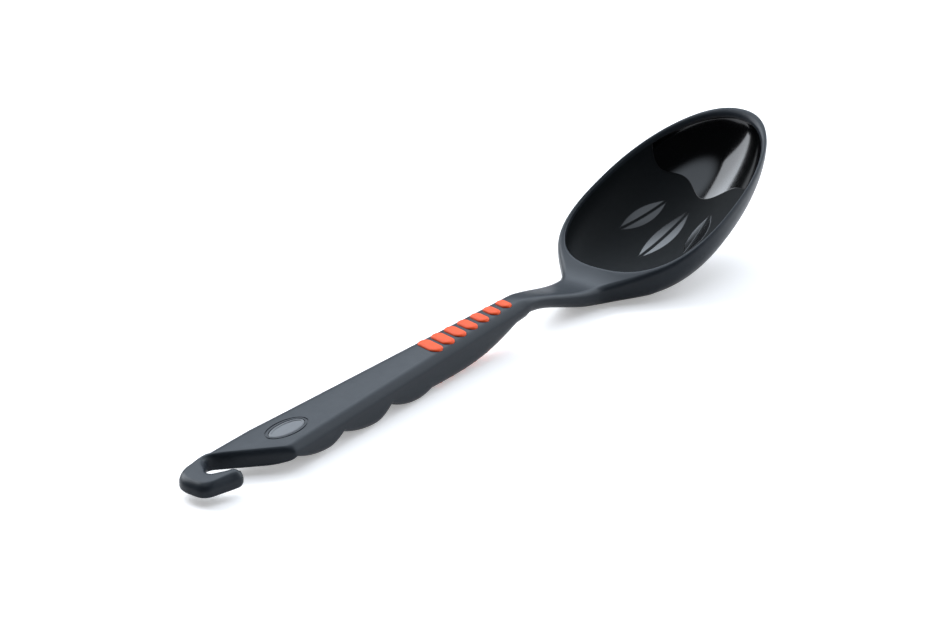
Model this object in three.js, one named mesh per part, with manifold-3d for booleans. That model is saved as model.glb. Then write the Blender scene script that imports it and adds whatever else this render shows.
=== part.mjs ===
// Camp spoon: a moulded body with a hook end, seven soft grip plugs and an oval badge.
// Millimetres. X runs from the hook to the bowl tip, Y to the left, Z up from the floor.
import * as THREE from 'three';
import Module from 'manifold-3d';

// Handle, a tapering bar with a flat top that climbs a little towards the bowl
const HOOK_END_X = -127.5;
const NECK_START_X = 6;
const TOP_AT_HOOK = 6.1;
const TOP_AT_NECK = 12.15;
const WIDTH_AT_HOOK = 20.4;
const WIDTH_AT_NECK_START = 8.8;
const HANDLE_SQUARENESS = 5;
const NECK_SQUARENESS = 2;

// Rounding of the top edges, how far each runs inwards and drops
const HOOK_EDGE_RUN = 2.3;
const HOOK_EDGE_DROP = 2.2;
const HANDLE_EDGE_FULL_X = -83;
const HANDLE_EDGE_RUN = 2.8;
const HANDLE_EDGE_DROP = 2.5;

// Finger scallops under the handle: cusps, and the lowest level of each scallop between two cusps
const HEEL_Z = 2.25;
const HEEL_END_X = -103;
const CUSP_X = [-96.8, -76.7, -55.4, -36.7];
const CUSP_Z = [4.1, 3.4, 3.5, 1.1];
const SCALLOP_LOW_Z = [0.6, 0, 0];
const SCALLOP_LOW_AT = 0.7;
const PALM_END_X = 5;
const PALM_END_Z = 5.6;
const PALM_END_SLOPE = 0.42;
const PALM_LIP_X = 9.4;
const PALM_LIP_Z = 5.75;

// Neck
const NECK_ARCH_X = 12.4;
const NECK_ARCH_Z = 6.7;
const NECK_WAIST_X = 13;
const NECK_WAIST_WIDTH = 8.4;
const NECK_FLARE_X = 40;
const NECK_FLARE_WIDTH = 14.2;
const NECK_FLARE_SLOPE = 0.1;
const NECK_END_X = 46;
const NECK_DIP_X = 41;
const NECK_DIP_Z = 6.8;
const NECK_EDGE_RUN = 2.2;
const NECK_EDGE_DROP = 1.4;

// Bowl, an egg in plan whose rim climbs to the tip
const BOWL_TIP_X = 127.5;
const BOWL_LENGTH = 79.4;
const BOWL_WIDTH = 47.6;
const BOWL_EGG = 0.12;
const BOWL_BACK_FULLNESS = 2.45;
const BOWL_FRONT_FULLNESS = 2.15;
const SHOULDER_X = 56;
const RIM_START_X = 54;
const RIM_START_Z = 9.87;
const RIM_SLOPE = 0.378;
const RIM_EDGE_FULL_X = 64;
const RIM_EDGE_RUN = 0.6;
const RIM_EDGE_DROP = 1.3;
const RIM_LAND = 0.65;
const RIM_LAND_AT_TIP = 1.5;
const LIP_WIDTH = 0.6;
const LIP_WIDTH_AT_ENDS = 1.3;
const LIP_DEPTH = 1.2;
const HOLLOW_START_X = 50;
const HOLLOW_FOOT_X = 66;
const KEEL_LOW_X = 60;
const KEEL_FULLNESS = 1.8;
const BOWL_FLOOR = 2.4;
const SHOULDER_SQUARENESS = 3.0;
const TIP_SQUARENESS = 1.7;
const TIP_SQUARENESS_BLEND = 0.55;

// Hook: corners of its outer and slot edges in plan, each with its rounding
const HOOK_OUTER = { end: [-127.4, 6.7, 7.6], heel: [-127.53, -4.5, 3.4], tip: [-114.7, -7.2, 2.2] };
const HOOK_SLOT = { corner: [-98.0, -8.85, 2.2], inner: [-113.6, 6.8, 2.6], outer: [-121.5, 0.4, 2.5] };
const HOOK_TIP_INNER = [-113.8, -2.9, 1.8];
const HOOK_BAR_AT = 0.2;
const HOOK_TIP_ROUND = 2.2;

// Grip plugs: a head above, a stem through the handle and a foot below
const PLUG_COUNT = 7;
const PLUG_FIRST_X = -30.2;
const PLUG_PITCH = 5.6;
const PLUG_FIRST_LENGTH = 8.5;
const PLUG_LAST_LENGTH = 5.2;
const PLUG_FIRST_WIDTH = 4.1;
const PLUG_LAST_WIDTH = 3.3;
const PLUG_SLANT = 14;
const PLUG_PROUD = 0.55;
const PLUG_SIDE = 0.1;
const PLUG_ROUND = 0.9;
const PLUG_HEAD_DEPTH = 1.2;
const PLUG_LEDGE = 0.7;
const PLUG_FIRST_FOOT_LENGTH = 8.5;
const PLUG_LAST_FOOT_LENGTH = 4.2;
const PLUG_FOOT_DEPTH = 1.0;
const PLUG_FOOT_PROUD = 0.15;
const PLUG_FOOT_CHAMFER = 0.4;

// Badge
const BADGE_X = -90.6;
const BADGE_LENGTH = 12.6;
const BADGE_WIDTH = 5.8;
const BADGE_THICKNESS = 0.7;
const BADGE_RING_GAP = 0.7;
const BADGE_RING_WIDTH = 0.4;
const BADGE_RING_DEPTH = 0.2;

// Fit and facets
const CLEARANCE = 0.3;
const CUT_PAST = 4;
const EDGE_SHARE = 0.9;
const SLOPE_STEP = 0.5;
const WELD = 1e-4;
const UNDER_STEPS = 16;
const EDGE_STEPS = 3;
const HOLLOW_STEPS = 12;
const BOWL_STATIONS = 30;
const OVAL_STEPS = 36;
const PLUG_ARC_STEPS = 6;
const PLUG_SIDE_STEPS = 4;
const PLUG_DOME_STEPS = 2;
const HOOK_OUTER_STEPS = { edges: [13, 5, 3, 4, 1], corners: [0, 6, 5, 4] };
const HOOK_SLOT_STEPS = { edges: [1, 8, 7, 4, 1], corners: [4, 5, 7, 4] };
const BAR_STEPS = [8, 8, 8, 12, 2, 3, 9, 6];

const wasm = await Module();
wasm.setup();

const { lerp, clamp, smoothstep, degToRad } = THREE.MathUtils;

// Cubic through two points with a slope at each
function cubic(x, [x0, y0, m0], [x1, y1, m1]) {
  const span = x1 - x0;
  const t = (x - x0) / span;
  const a = 1 + t * t * (2 * t - 3);
  return a * y0 + (1 - a) * y1 + span * t * (1 - t) * ((1 - t) * m0 - t * m1);
}

function slopeAt(height, x) {
  return (height(x + SLOPE_STEP) - height(x - SLOPE_STEP)) / (2 * SLOPE_STEP);
}

// Quarter oval that leaves level at the start and ends upright
function quarter(t, fullness = 2) {
  return 1 - Math.max(0, 1 - t ** fullness) ** (1 / fullness);
}

// Height of the top face, and of the rim, along the spoon
const HANDLE_SLOPE = (TOP_AT_NECK - TOP_AT_HOOK) / (NECK_START_X - HOOK_END_X);
function topZ(x) {
  if (x < NECK_START_X) return TOP_AT_NECK + (x - NECK_START_X) * HANDLE_SLOPE;
  const dip = [NECK_DIP_X, NECK_DIP_Z, 0];
  if (x < NECK_DIP_X) return cubic(x, [NECK_START_X, TOP_AT_NECK, HANDLE_SLOPE], dip);
  if (x < RIM_START_X) return cubic(x, dip, [RIM_START_X, RIM_START_Z, RIM_SLOPE]);
  return RIM_START_Z + (x - RIM_START_X) * RIM_SLOPE;
}

// Rounding of the top edge, shrunk as a whole where the span from the edge inwards is short
function edgeRounding(x, span) {
  const onHandle = clamp((x - HOOK_END_X) / (HANDLE_EDGE_FULL_X - HOOK_END_X), 0, 1);
  const onNeck = smoothstep(x, NECK_START_X, NECK_WAIST_X);
  const onRim = smoothstep(x, NECK_FLARE_X, RIM_EDGE_FULL_X);
  const blend = (hook, handle, neck, rim) => {
    const behind = lerp(hook, handle, onHandle);
    return lerp(lerp(behind, neck, onNeck), rim, onRim);
  };
  const run = blend(HOOK_EDGE_RUN, HANDLE_EDGE_RUN, NECK_EDGE_RUN, RIM_EDGE_RUN);
  const drop = blend(HOOK_EDGE_DROP, HANDLE_EDGE_DROP, NECK_EDGE_DROP, RIM_EDGE_DROP);
  const fit = Math.min(1, (EDGE_SHARE * span) / run);
  return { run: fit * run, drop: fit * drop };
}

// How boxy the underside is: 2 is an ellipse, more is squarer
function squareness(x) {
  if (x < NECK_ARCH_X) {
    return lerp(HANDLE_SQUARENESS, NECK_SQUARENESS, smoothstep(x, CUSP_X.at(-1), NECK_ARCH_X));
  }
  if (x < SHOULDER_X) {
    return lerp(NECK_SQUARENESS, SHOULDER_SQUARENESS, smoothstep(x, NECK_ARCH_X, SHOULDER_X));
  }
  const t = (x - SHOULDER_X) / (BOWL_TIP_X - SHOULDER_X);
  return lerp(SHOULDER_SQUARENESS, TIP_SQUARENESS, t ** TIP_SQUARENESS_BLEND);
}

// Lowest line of the body along the spoon
function keelZ(x) {
  if (x < HEEL_END_X) return HEEL_Z;
  if (x < CUSP_X[0]) return lerp(HEEL_Z, CUSP_Z[0], ((x - HEEL_END_X) / (CUSP_X[0] - HEEL_END_X)) ** 2);
  const next = CUSP_X.findIndex((cusp) => x < cusp);
  if (next > 0) {
    const low = SCALLOP_LOW_Z[next - 1];
    const u = (x - CUSP_X[next - 1]) / (CUSP_X[next] - CUSP_X[next - 1]);
    if (u < SCALLOP_LOW_AT) return lerp(low, CUSP_Z[next - 1], (1 - u / SCALLOP_LOW_AT) ** 2);
    return lerp(low, CUSP_Z[next], ((u - SCALLOP_LOW_AT) / (1 - SCALLOP_LOW_AT)) ** 2);
  }
  if (x < PALM_END_X) {
    return cubic(x, [CUSP_X.at(-1), CUSP_Z.at(-1), 0], [PALM_END_X, PALM_END_Z, PALM_END_SLOPE]);
  }
  if (x < PALM_LIP_X) return cubic(x, [PALM_END_X, PALM_END_Z, 0], [PALM_LIP_X, PALM_LIP_Z, 0]);
  if (x < NECK_ARCH_X) return cubic(x, [PALM_LIP_X, PALM_LIP_Z, 0], [NECK_ARCH_X, NECK_ARCH_Z, 0]);
  if (x < NECK_END_X) return cubic(x, [NECK_ARCH_X, NECK_ARCH_Z, 0], [NECK_END_X, 0, 0]);
  if (x < KEEL_LOW_X) return 0;
  const rise = topZ(BOWL_TIP_X) - RIM_EDGE_DROP;
  return rise * quarter((x - KEEL_LOW_X) / (BOWL_TIP_X - KEEL_LOW_X), KEEL_FULLNESS);
}

// Half width of an egg outline, blunt towards the neck
function eggHalf(x, startX, endX, width) {
  const u = (2 * x - startX - endX) / (endX - startX);
  const fullness = u < 0 ? BOWL_BACK_FULLNESS : BOWL_FRONT_FULLNESS;
  const round = Math.max(0, 1 - Math.abs(u) ** fullness) ** (1 / fullness);
  return (width / 2) * round * (1 - BOWL_EGG * u);
}

function bowlHalf(x) {
  return eggHalf(x, BOWL_TIP_X - BOWL_LENGTH, BOWL_TIP_X, BOWL_WIDTH);
}

// Half width of the whole spoon in plan, ahead of the hook
function halfWidth(x) {
  const taper = (WIDTH_AT_NECK_START - WIDTH_AT_HOOK) / 2 / (NECK_START_X - HOOK_END_X);
  const waist = [NECK_WAIST_X, NECK_WAIST_WIDTH / 2, 0];
  const flare = [NECK_FLARE_X, NECK_FLARE_WIDTH / 2, NECK_FLARE_SLOPE];
  if (x < NECK_START_X) return WIDTH_AT_HOOK / 2 + (x - HOOK_END_X) * taper;
  if (x < NECK_WAIST_X) return cubic(x, [NECK_START_X, WIDTH_AT_NECK_START / 2, taper], waist);
  if (x < NECK_FLARE_X) return cubic(x, waist, flare);
  if (x > SHOULDER_X) return bowlHalf(x);
  return cubic(x, flare, [SHOULDER_X, bowlHalf(SHOULDER_X), slopeAt(bowlHalf, SHOULDER_X)]);
}

// Height of the handle's top at any place across it
function crownZ(x, y) {
  const half = halfWidth(x);
  const { run, drop } = edgeRounding(x, half);
  return topZ(x) - drop * quarter(clamp((Math.abs(y) - half + run) / run, 0, 1));
}

// Floor of the hollow along the middle
function hollowZ(x, startX, endX) {
  const startRise = topZ(startX) - LIP_DEPTH - BOWL_FLOOR;
  const endRise = topZ(endX) - LIP_DEPTH - BOWL_FLOOR;
  const back = x < HOLLOW_FOOT_X ? startRise * quarter((HOLLOW_FOOT_X - x) / (HOLLOW_FOOT_X - startX)) : 0;
  const ahead = (x - KEEL_LOW_X) / (endX - KEEL_LOW_X);
  const front = ahead > 0 ? endRise * quarter(ahead, KEEL_FULLNESS) : 0;
  return BOWL_FLOOR + back + front;
}

function signedPower(value, power) {
  return Math.sign(value) * Math.abs(value) ** power;
}

// One cross-section: the underside from left to right, then the top from each edge to the middle or lip
function section(left, right, lipLeft, lipRight, sink) {
  const middle = left.clone().add(right).multiplyScalar(0.5);
  const { run, drop } = edgeRounding(middle.x, left.distanceTo(lipLeft));
  const power = 2 / squareness(middle.x);
  const edgeZ = (p) => topZ(p.x) - sink - drop;
  const under = [];
  for (let j = 0; j <= UNDER_STEPS; j++) {
    const angle = (Math.PI * j) / UNDER_STEPS;
    const across = signedPower(Math.cos(angle), power);
    const p = middle.clone().lerp(left, across);
    const depth = Math.abs(Math.sin(angle)) ** power;
    under.push(new THREE.Vector3(p.x, p.y, lerp(edgeZ(p), keelZ(p.x) + sink, j % UNDER_STEPS ? depth : 0)));
  }
  const shoulder = (edge, lip) => {
    const points = [];
    const span = edge.distanceTo(lip);
    for (let j = 0; j <= EDGE_STEPS; j++) {
      const angle = (Math.PI / 2) * (j / EDGE_STEPS);
      const inset = span > 0 ? (run * (1 - Math.cos(angle))) / span : 0;
      const p = edge.clone().lerp(lip, inset);
      points.push(new THREE.Vector3(p.x, p.y, edgeZ(p) + drop * Math.sin(angle)));
    }
    points.push(new THREE.Vector3(lip.x, lip.y, topZ(lip.x) - sink));
    return points;
  };
  return { under, topRight: shoulder(right, lipRight), topLeft: shoulder(left, lipLeft).reverse() };
}

// One line across the hollow, from the right lip down and up to the left lip
function hollowLine(lip, inner, floor) {
  const points = [];
  const side = (sign) => {
    const line = [];
    for (let j = 0; j < EDGE_STEPS; j++) {
      const angle = (Math.PI / 2) * (j / EDGE_STEPS);
      const p = lip.clone().lerp(inner, Math.sin(angle));
      line.push(new THREE.Vector3(p.x, sign * p.y, topZ(p.x) - LIP_DEPTH * (1 - Math.cos(angle))));
    }
    return line;
  };
  points.push(...side(-1));
  const power = 2 / squareness(inner.x);
  for (let j = 0; j <= HOLLOW_STEPS; j++) {
    const angle = (Math.PI * j) / HOLLOW_STEPS;
    const across = -signedPower(Math.cos(angle), power) * inner.y;
    const depth = j % HOLLOW_STEPS ? Math.sin(angle) ** power : 0;
    points.push(new THREE.Vector3(inner.x, across, lerp(topZ(inner.x) - LIP_DEPTH, floor, depth)));
  }
  points.push(...side(1).reverse());
  return points;
}

// Points along a run of straight edges with rounded corners; steps are counted per edge and per corner
function roundedPath(start, corners, end, steps) {
  const points = [];
  let from = new THREE.Vector2(...start);
  corners.forEach(([x, y, radius], i) => {
    const corner = new THREE.Vector2(x, y);
    const [nextX, nextY] = i + 1 < corners.length ? corners[i + 1] : end;
    const entering = corner.clone().sub(from).normalize();
    const leaving = new THREE.Vector2(nextX, nextY).sub(corner).normalize();
    const turn = Math.acos(clamp(entering.dot(leaving), -1, 1));
    const reach = radius * Math.tan(turn / 2);
    const arcStart = corner.clone().addScaledVector(entering, -reach);
    const arcEnd = corner.clone().addScaledVector(leaving, reach);
    points.push(...new THREE.LineCurve(from, arcStart).getPoints(steps.edges[i]).slice(0, -1));
    if (radius > 0) {
      const arc = new THREE.QuadraticBezierCurve(arcStart, corner, arcEnd);
      points.push(...arc.getPoints(steps.corners[i]).slice(0, -1));
    }
    from = arcEnd;
  });
  const last = new THREE.LineCurve(from, new THREE.Vector2(...end));
  points.push(...last.getPoints(steps.edges.at(-1)));
  return points;
}

// Stations of the hook, from its tip round to the handle
function hookStations() {
  const joinX = CUSP_X[0];
  const half = halfWidth(joinX);
  const tipMiddle = [
    (HOOK_OUTER.tip[0] + HOOK_TIP_INNER[0]) / 2,
    (HOOK_OUTER.tip[1] + HOOK_TIP_INNER[1]) / 2,
  ];
  const aboveSlot = [HOOK_SLOT.inner[0], lerp(half, HOOK_OUTER.end[1], HOOK_BAR_AT), 0];
  const outerCorners = [aboveSlot, HOOK_OUTER.end, HOOK_OUTER.heel, HOOK_OUTER.tip];
  const outer = roundedPath([joinX, half], outerCorners, tipMiddle, HOOK_OUTER_STEPS);
  const slotCorners = [HOOK_SLOT.corner, HOOK_SLOT.inner, HOOK_SLOT.outer, HOOK_TIP_INNER];
  const slot = roundedPath([joinX, -half], slotCorners, tipMiddle, HOOK_SLOT_STEPS);
  const tip = new THREE.Vector2(...tipMiddle);
  return outer
    .map((left, i) => {
      const right = slot[i];
      const fromTip = left.clone().add(right).multiplyScalar(0.5).distanceTo(tip);
      const near = Math.max(0, 1 - fromTip / HOOK_TIP_ROUND);
      return { left, right, sink: HOOK_TIP_ROUND * quarter(near) };
    })
    .reverse();
}

// Places along the handle and neck: every cusp and profile change, evenly filled between
function barPlaces() {
  const marks = [...CUSP_X, PALM_END_X, PALM_LIP_X, NECK_ARCH_X, NECK_FLARE_X, HOLLOW_START_X];
  return marks.slice(1).flatMap((mark, i) =>
    Array.from({ length: BAR_STEPS[i] }, (_, k) => lerp(marks[i], mark, (k + 1) / BAR_STEPS[i])),
  );
}

// Closed solid from patches of points that share their border lines
function solidFromPatches(patches) {
  const found = new Map();
  const vertices = [];
  const triangles = [];
  const indexOf = (p) => {
    const key = [p.x, p.y, p.z].map((value) => Math.round(value / WELD)).join(' ');
    if (!found.has(key)) {
      found.set(key, vertices.length / 3);
      vertices.push(p.x, p.y, p.z);
    }
    return found.get(key);
  };
  const triangle = (...corners) => {
    if (new Set(corners).size === 3) triangles.push(...corners);
  };
  for (const patch of patches) {
    const grid = patch.map((line) => line.map(indexOf));
    for (let i = 0; i + 1 < grid.length; i++) {
      for (let j = 0; j + 1 < grid[i].length; j++) {
        triangle(grid[i][j], grid[i + 1][j], grid[i + 1][j + 1]);
        triangle(grid[i][j], grid[i + 1][j + 1], grid[i][j + 1]);
      }
    }
  }
  return new wasm.Manifold(
    new wasm.Mesh({
      numProp: 3,
      vertProperties: new Float32Array(vertices),
      triVerts: new Uint32Array(triangles),
    }),
  );
}

function bodySolid() {
  const sections = [];
  const hollow = [];
  for (const { left, right, sink } of hookStations()) {
    const middle = left.clone().add(right).multiplyScalar(0.5);
    sections.push(section(left, right, middle, middle, sink));
  }
  for (const x of barPlaces()) {
    const half = halfWidth(x);
    const middle = new THREE.Vector2(x, 0);
    sections.push(section(new THREE.Vector2(x, half), new THREE.Vector2(x, -half), middle, middle, 0));
  }
  const lipEnd = BOWL_TIP_X - RIM_LAND_AT_TIP;
  const lipWidth = BOWL_WIDTH - 2 * RIM_LAND;
  const innerStart = HOLLOW_START_X + LIP_WIDTH_AT_ENDS;
  const innerEnd = lipEnd - LIP_WIDTH_AT_ENDS;
  const innerWidth = lipWidth - 2 * LIP_WIDTH;
  for (let i = 0; i <= BOWL_STATIONS; i++) {
    const t = (1 - Math.cos((Math.PI * i) / BOWL_STATIONS)) / 2;
    const ends = i % BOWL_STATIONS === 0 ? 0 : 1;
    const outerX = lerp(HOLLOW_START_X, BOWL_TIP_X, t);
    const lipX = lerp(HOLLOW_START_X, lipEnd, t);
    const innerX = lerp(innerStart, innerEnd, t);
    const outer = new THREE.Vector2(outerX, i < BOWL_STATIONS ? halfWidth(outerX) : 0);
    const lip = new THREE.Vector2(lipX, ends * eggHalf(lipX, HOLLOW_START_X, lipEnd, lipWidth));
    const inner = new THREE.Vector2(innerX, ends * eggHalf(innerX, innerStart, innerEnd, innerWidth));
    const mirror = (p) => new THREE.Vector2(p.x, -p.y);
    if (i > 0) sections.push(section(outer, mirror(outer), lip, mirror(lip), 0));
    hollow.push(hollowLine(lip, inner, hollowZ(innerX, innerStart, innerEnd)));
  }
  return solidFromPatches([
    sections.map((s) => s.under),
    sections.map((s) => s.topRight),
    sections.map((s) => s.topLeft),
    hollow,
  ]);
}

// Solid whose outline changes with height, closed at both ends by a level with no area
function levelSolid(levels) {
  return solidFromPatches([levels.map((level) => [...level, level[0]].reverse())]);
}

// Level drawn together to its middle
function closing(level) {
  const middle = level.reduce((sum, p) => sum.add(p), new THREE.Vector3()).divideScalar(level.length);
  return level.map(() => middle);
}

// Stadium outline grown on all sides, its long axis turned by the slant from Y
function stadium(length, width, grow) {
  const radius = width / 2 + grow;
  const straight = (length - width) / 2;
  const points = [];
  for (const end of [1, -1]) {
    for (let j = 0; j <= PLUG_ARC_STEPS; j++) {
      const angle = (Math.PI * j) / PLUG_ARC_STEPS;
      const across = radius * Math.cos(angle);
      points.push(new THREE.Vector2(end * across, end * (straight + radius * Math.sin(angle))));
    }
    for (let j = 1; j < PLUG_SIDE_STEPS; j++) {
      points.push(new THREE.Vector2(-end * radius, end * straight * (1 - (2 * j) / PLUG_SIDE_STEPS)));
    }
  }
  const middle = new THREE.Vector2();
  return points.map((p) => p.rotateAround(middle, -degToRad(PLUG_SLANT)));
}

// Outline set at a height on a plane that climbs along X
function level(outline, x, z, slope) {
  return outline.map((p) => new THREE.Vector3(x + p.x, p.y, z + slope * p.x));
}

function plugSize(i) {
  const t = i / (PLUG_COUNT - 1);
  return {
    x: PLUG_FIRST_X + i * PLUG_PITCH,
    length: lerp(PLUG_FIRST_LENGTH, PLUG_LAST_LENGTH, t),
    width: lerp(PLUG_FIRST_WIDTH, PLUG_LAST_WIDTH, t),
    footLength: lerp(PLUG_FIRST_FOOT_LENGTH, PLUG_LAST_FOOT_LENGTH, t),
  };
}

// One grip plug, or with room the opening that takes it
function plugSolid(i, room) {
  const { x, length, width, footLength } = plugSize(i);
  const top = topZ(x);
  const keel = keelZ(x);
  const keelSlope = slopeAt(keelZ, x);
  const upper = (grow, z) => level(stadium(length, width, grow + room), x, top + z, HANDLE_SLOPE);
  const lower = (size, grow, z) => level(stadium(size, width, grow + room), x, keel + z, keelSlope);
  const crowned = (grow, z) =>
    stadium(length, width, grow).map((p) => new THREE.Vector3(x + p.x, p.y, crownZ(x + p.x, p.y) + z));
  const dome = Array.from({ length: PLUG_DOME_STEPS + 1 }, (_, j) => {
    const angle = (Math.PI / 2) * (j / PLUG_DOME_STEPS);
    return crowned(-PLUG_ROUND * (1 - Math.cos(angle)), lerp(PLUG_SIDE, PLUG_PROUD, Math.sin(angle)));
  });
  const ridge = crowned(-width / 2, PLUG_PROUD);
  const foot = [lower(footLength, -PLUG_FOOT_CHAMFER, -PLUG_FOOT_PROUD), lower(footLength, 0, 0)];
  const below = room ? [lower(footLength, 0, -CUT_PAST)] : foot;
  const past = upper(0, CUT_PAST);
  const above = room ? [past, closing(past)] : [...dome, ridge];
  return levelSolid([
    closing(below[0]),
    ...below,
    lower(footLength, 0, PLUG_FOOT_DEPTH + room),
    lower(length, -PLUG_LEDGE, PLUG_FOOT_DEPTH + room),
    upper(-PLUG_LEDGE, -PLUG_HEAD_DEPTH - room),
    upper(0, -PLUG_HEAD_DEPTH - room),
    ...above,
  ]);
}

// Oval block between two depths below the handle top
function ovalSolid(grow, fromZ, toZ) {
  const top = topZ(BADGE_X);
  const outline = new THREE.EllipseCurve(0, 0, BADGE_LENGTH / 2 + grow, BADGE_WIDTH / 2 + grow)
    .getPoints(OVAL_STEPS)
    .slice(0, -1);
  const [low, high] = [fromZ, toZ].map((z) => level(outline, BADGE_X, top + z, HANDLE_SLOPE));
  return levelSolid([closing(low), low, high, closing(high)]);
}

function meshOf(name, solid, material) {
  const made = solid.getMesh();
  const geometry = new THREE.BufferGeometry();
  geometry.setAttribute('position', new THREE.BufferAttribute(new Float32Array(made.vertProperties), 3));
  geometry.setIndex(new THREE.BufferAttribute(new Uint32Array(made.triVerts), 1));
  geometry.computeVertexNormals();
  const mesh = new THREE.Mesh(geometry, material);
  mesh.name = name;
  return mesh;
}

function plastic(name, color, roughness) {
  return new THREE.MeshStandardMaterial({ name, color, roughness, metalness: 0 });
}
const nylon = plastic('body_nylon', 0x2b3036, 0.55);
const rubber = plastic('grip_rubber', 0xf0683c, 0.6);
const pale = plastic('badge_grey', 0xb4b9bf, 0.4);

let body = bodySolid();
const plugs = [];
for (let i = 0; i < PLUG_COUNT; i++) {
  body = body.subtract(plugSolid(i, CLEARANCE));
  plugs.push(meshOf(`grip_pad_${i + 1}`, plugSolid(i, 0), rubber));
}
const badgeSeat = -BADGE_THICKNESS - CLEARANCE;
body = body.subtract(ovalSolid(CLEARANCE, badgeSeat, CUT_PAST));
const ringInner = ovalSolid(BADGE_RING_GAP + CLEARANCE, -CUT_PAST, 2 * CUT_PAST);
const ringOuter = ovalSolid(BADGE_RING_GAP + CLEARANCE + BADGE_RING_WIDTH, -BADGE_RING_DEPTH, CUT_PAST);
body = body.subtract(ringOuter.subtract(ringInner));

const spoon = new THREE.Group();
spoon.name = 'camp_spoon';
spoon.add(meshOf('spoon_body', body, nylon));
spoon.add(...plugs);
spoon.add(meshOf('badge', ovalSolid(0, -BADGE_THICKNESS, 0), pale));

export default spoon;
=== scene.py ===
"""Looks of the camp spoon: a smooth moulded body, soft grip plugs and an oval badge on a pale floor."""

import math

import bpy
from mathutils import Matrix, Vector


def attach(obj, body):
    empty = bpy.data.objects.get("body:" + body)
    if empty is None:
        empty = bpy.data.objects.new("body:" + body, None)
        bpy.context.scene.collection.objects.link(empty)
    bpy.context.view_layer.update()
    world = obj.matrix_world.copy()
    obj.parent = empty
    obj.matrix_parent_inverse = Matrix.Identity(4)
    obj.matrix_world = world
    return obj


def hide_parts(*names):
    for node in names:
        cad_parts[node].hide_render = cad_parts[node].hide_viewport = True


MM = 0.001

# Handle, in millimetres as all sizes here, with X from the hook to the bowl tip and Z up from the floor
HOOK_END_X = -127.5
NECK_START_X = 6
TOP_AT_HOOK = 6.1
TOP_AT_NECK = 12.15
WIDTH_AT_HOOK = 20.4
WIDTH_AT_NECK_START = 8.8
HANDLE_SQUARENESS = 5
NECK_SQUARENESS = 2

# Rounding of the top edges, how far each runs inwards and drops
HOOK_EDGE_RUN = 2.3
HOOK_EDGE_DROP = 2.2
HANDLE_EDGE_FULL_X = -83
HANDLE_EDGE_RUN = 2.8
HANDLE_EDGE_DROP = 2.5

# Finger scallops under the handle: cusps, and the lowest level of each scallop between two cusps
HEEL_Z = 2.25
HEEL_END_X = -103
CUSP_X = (-96.8, -76.7, -55.4, -36.7)
CUSP_Z = (4.1, 3.4, 3.5, 1.1)
SCALLOP_LOW_Z = (0.6, 0, 0)
SCALLOP_LOW_AT = 0.7
PALM_END_X = 5
PALM_END_Z = 5.6
PALM_END_SLOPE = 0.42
PALM_LIP_X = 9.4
PALM_LIP_Z = 5.75

# Neck
NECK_ARCH_X = 12.4
NECK_ARCH_Z = 6.7
NECK_WAIST_X = 13
NECK_WAIST_WIDTH = 8.4
NECK_FLARE_X = 40
NECK_FLARE_WIDTH = 14.2
NECK_FLARE_SLOPE = 0.1
NECK_END_X = 46
NECK_DIP_X = 41
NECK_DIP_Z = 6.8
NECK_EDGE_RUN = 2.2
NECK_EDGE_DROP = 1.4

# Bowl, an egg in plan whose rim climbs to the tip
BOWL_TIP_X = 127.5
BOWL_LENGTH = 79.4
BOWL_WIDTH = 47.56
BOWL_EGG = 0.12
BOWL_BACK_FULLNESS = 2.45
BOWL_FRONT_FULLNESS = 2.15
SHOULDER_X = 56
RIM_START_X = 54
RIM_START_Z = 9.87
RIM_SLOPE = 0.3777
RIM_EDGE_FULL_X = 64
RIM_EDGE_RUN = 0.6
RIM_EDGE_DROP = 1.3
RIM_LAND = 0.65
RIM_LAND_AT_TIP = 1.5
LIP_WIDTH = 0.6
LIP_WIDTH_AT_ENDS = 1.3
LIP_DEPTH = 1.2
HOLLOW_START_X = 50
HOLLOW_FOOT_X = 66
KEEL_LOW_X = 60
KEEL_FULLNESS = 1.8
BOWL_FLOOR = 2.4
SHOULDER_SQUARENESS = 3.0
TIP_SQUARENESS = 1.7
TIP_SQUARENESS_BLEND = 0.55

# Hook: corners of its outer and slot edges in plan, each with its rounding
HOOK_OUTER = {"end": (-127.4, 6.7, 7.6), "heel": (-127.53, -4.5, 3.4), "tip": (-114.7, -7.2, 2.2)}
HOOK_SLOT = {"corner": (-98.0, -8.85, 2.2), "inner": (-113.6, 6.8, 2.6), "outer": (-121.5, 0.4, 2.5)}
HOOK_TIP_INNER = (-113.8, -2.9, 1.8)
HOOK_BAR_AT = 0.2
HOOK_TIP_ROUND = 2.2

# Grip plugs: a head above, a stem through the handle and a foot below
PLUG_COUNT = 7
PLUG_FIRST_X = -30.2
PLUG_PITCH = 5.6
PLUG_FIRST_LENGTH = 8.5
PLUG_LAST_LENGTH = 5.2
PLUG_FIRST_WIDTH = 4.1
PLUG_LAST_WIDTH = 3.3
PLUG_SLANT = 14
PLUG_PROUD = 0.55
PLUG_SIDE = 0.1
PLUG_ROUND = 0.9
PLUG_HEAD_DEPTH = 1.2
PLUG_LEDGE = 0.7
PLUG_FIRST_FOOT_LENGTH = 8.5
PLUG_LAST_FOOT_LENGTH = 4.2
PLUG_FOOT_DEPTH = 1.0
PLUG_FOOT_PROUD = 0.15
PLUG_FOOT_CHAMFER = 0.4
PLUG_GAP = 0.1

# Badge
BADGE_X = -90.6
BADGE_LENGTH = 12.6
BADGE_WIDTH = 5.8
BADGE_THICKNESS = 0.7
BADGE_GAP = 0.12
BADGE_ROUND = 0.2
BADGE_ROUND_MIDDLE = BADGE_ROUND / 3
BADGE_BORDER = 0.7
BADGE_FIELD_DEPTH = 0.15
BADGE_RING_GAP = 0.7
BADGE_RING_WIDTH = 0.4
BADGE_RING_DEPTH = 0.2

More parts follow.
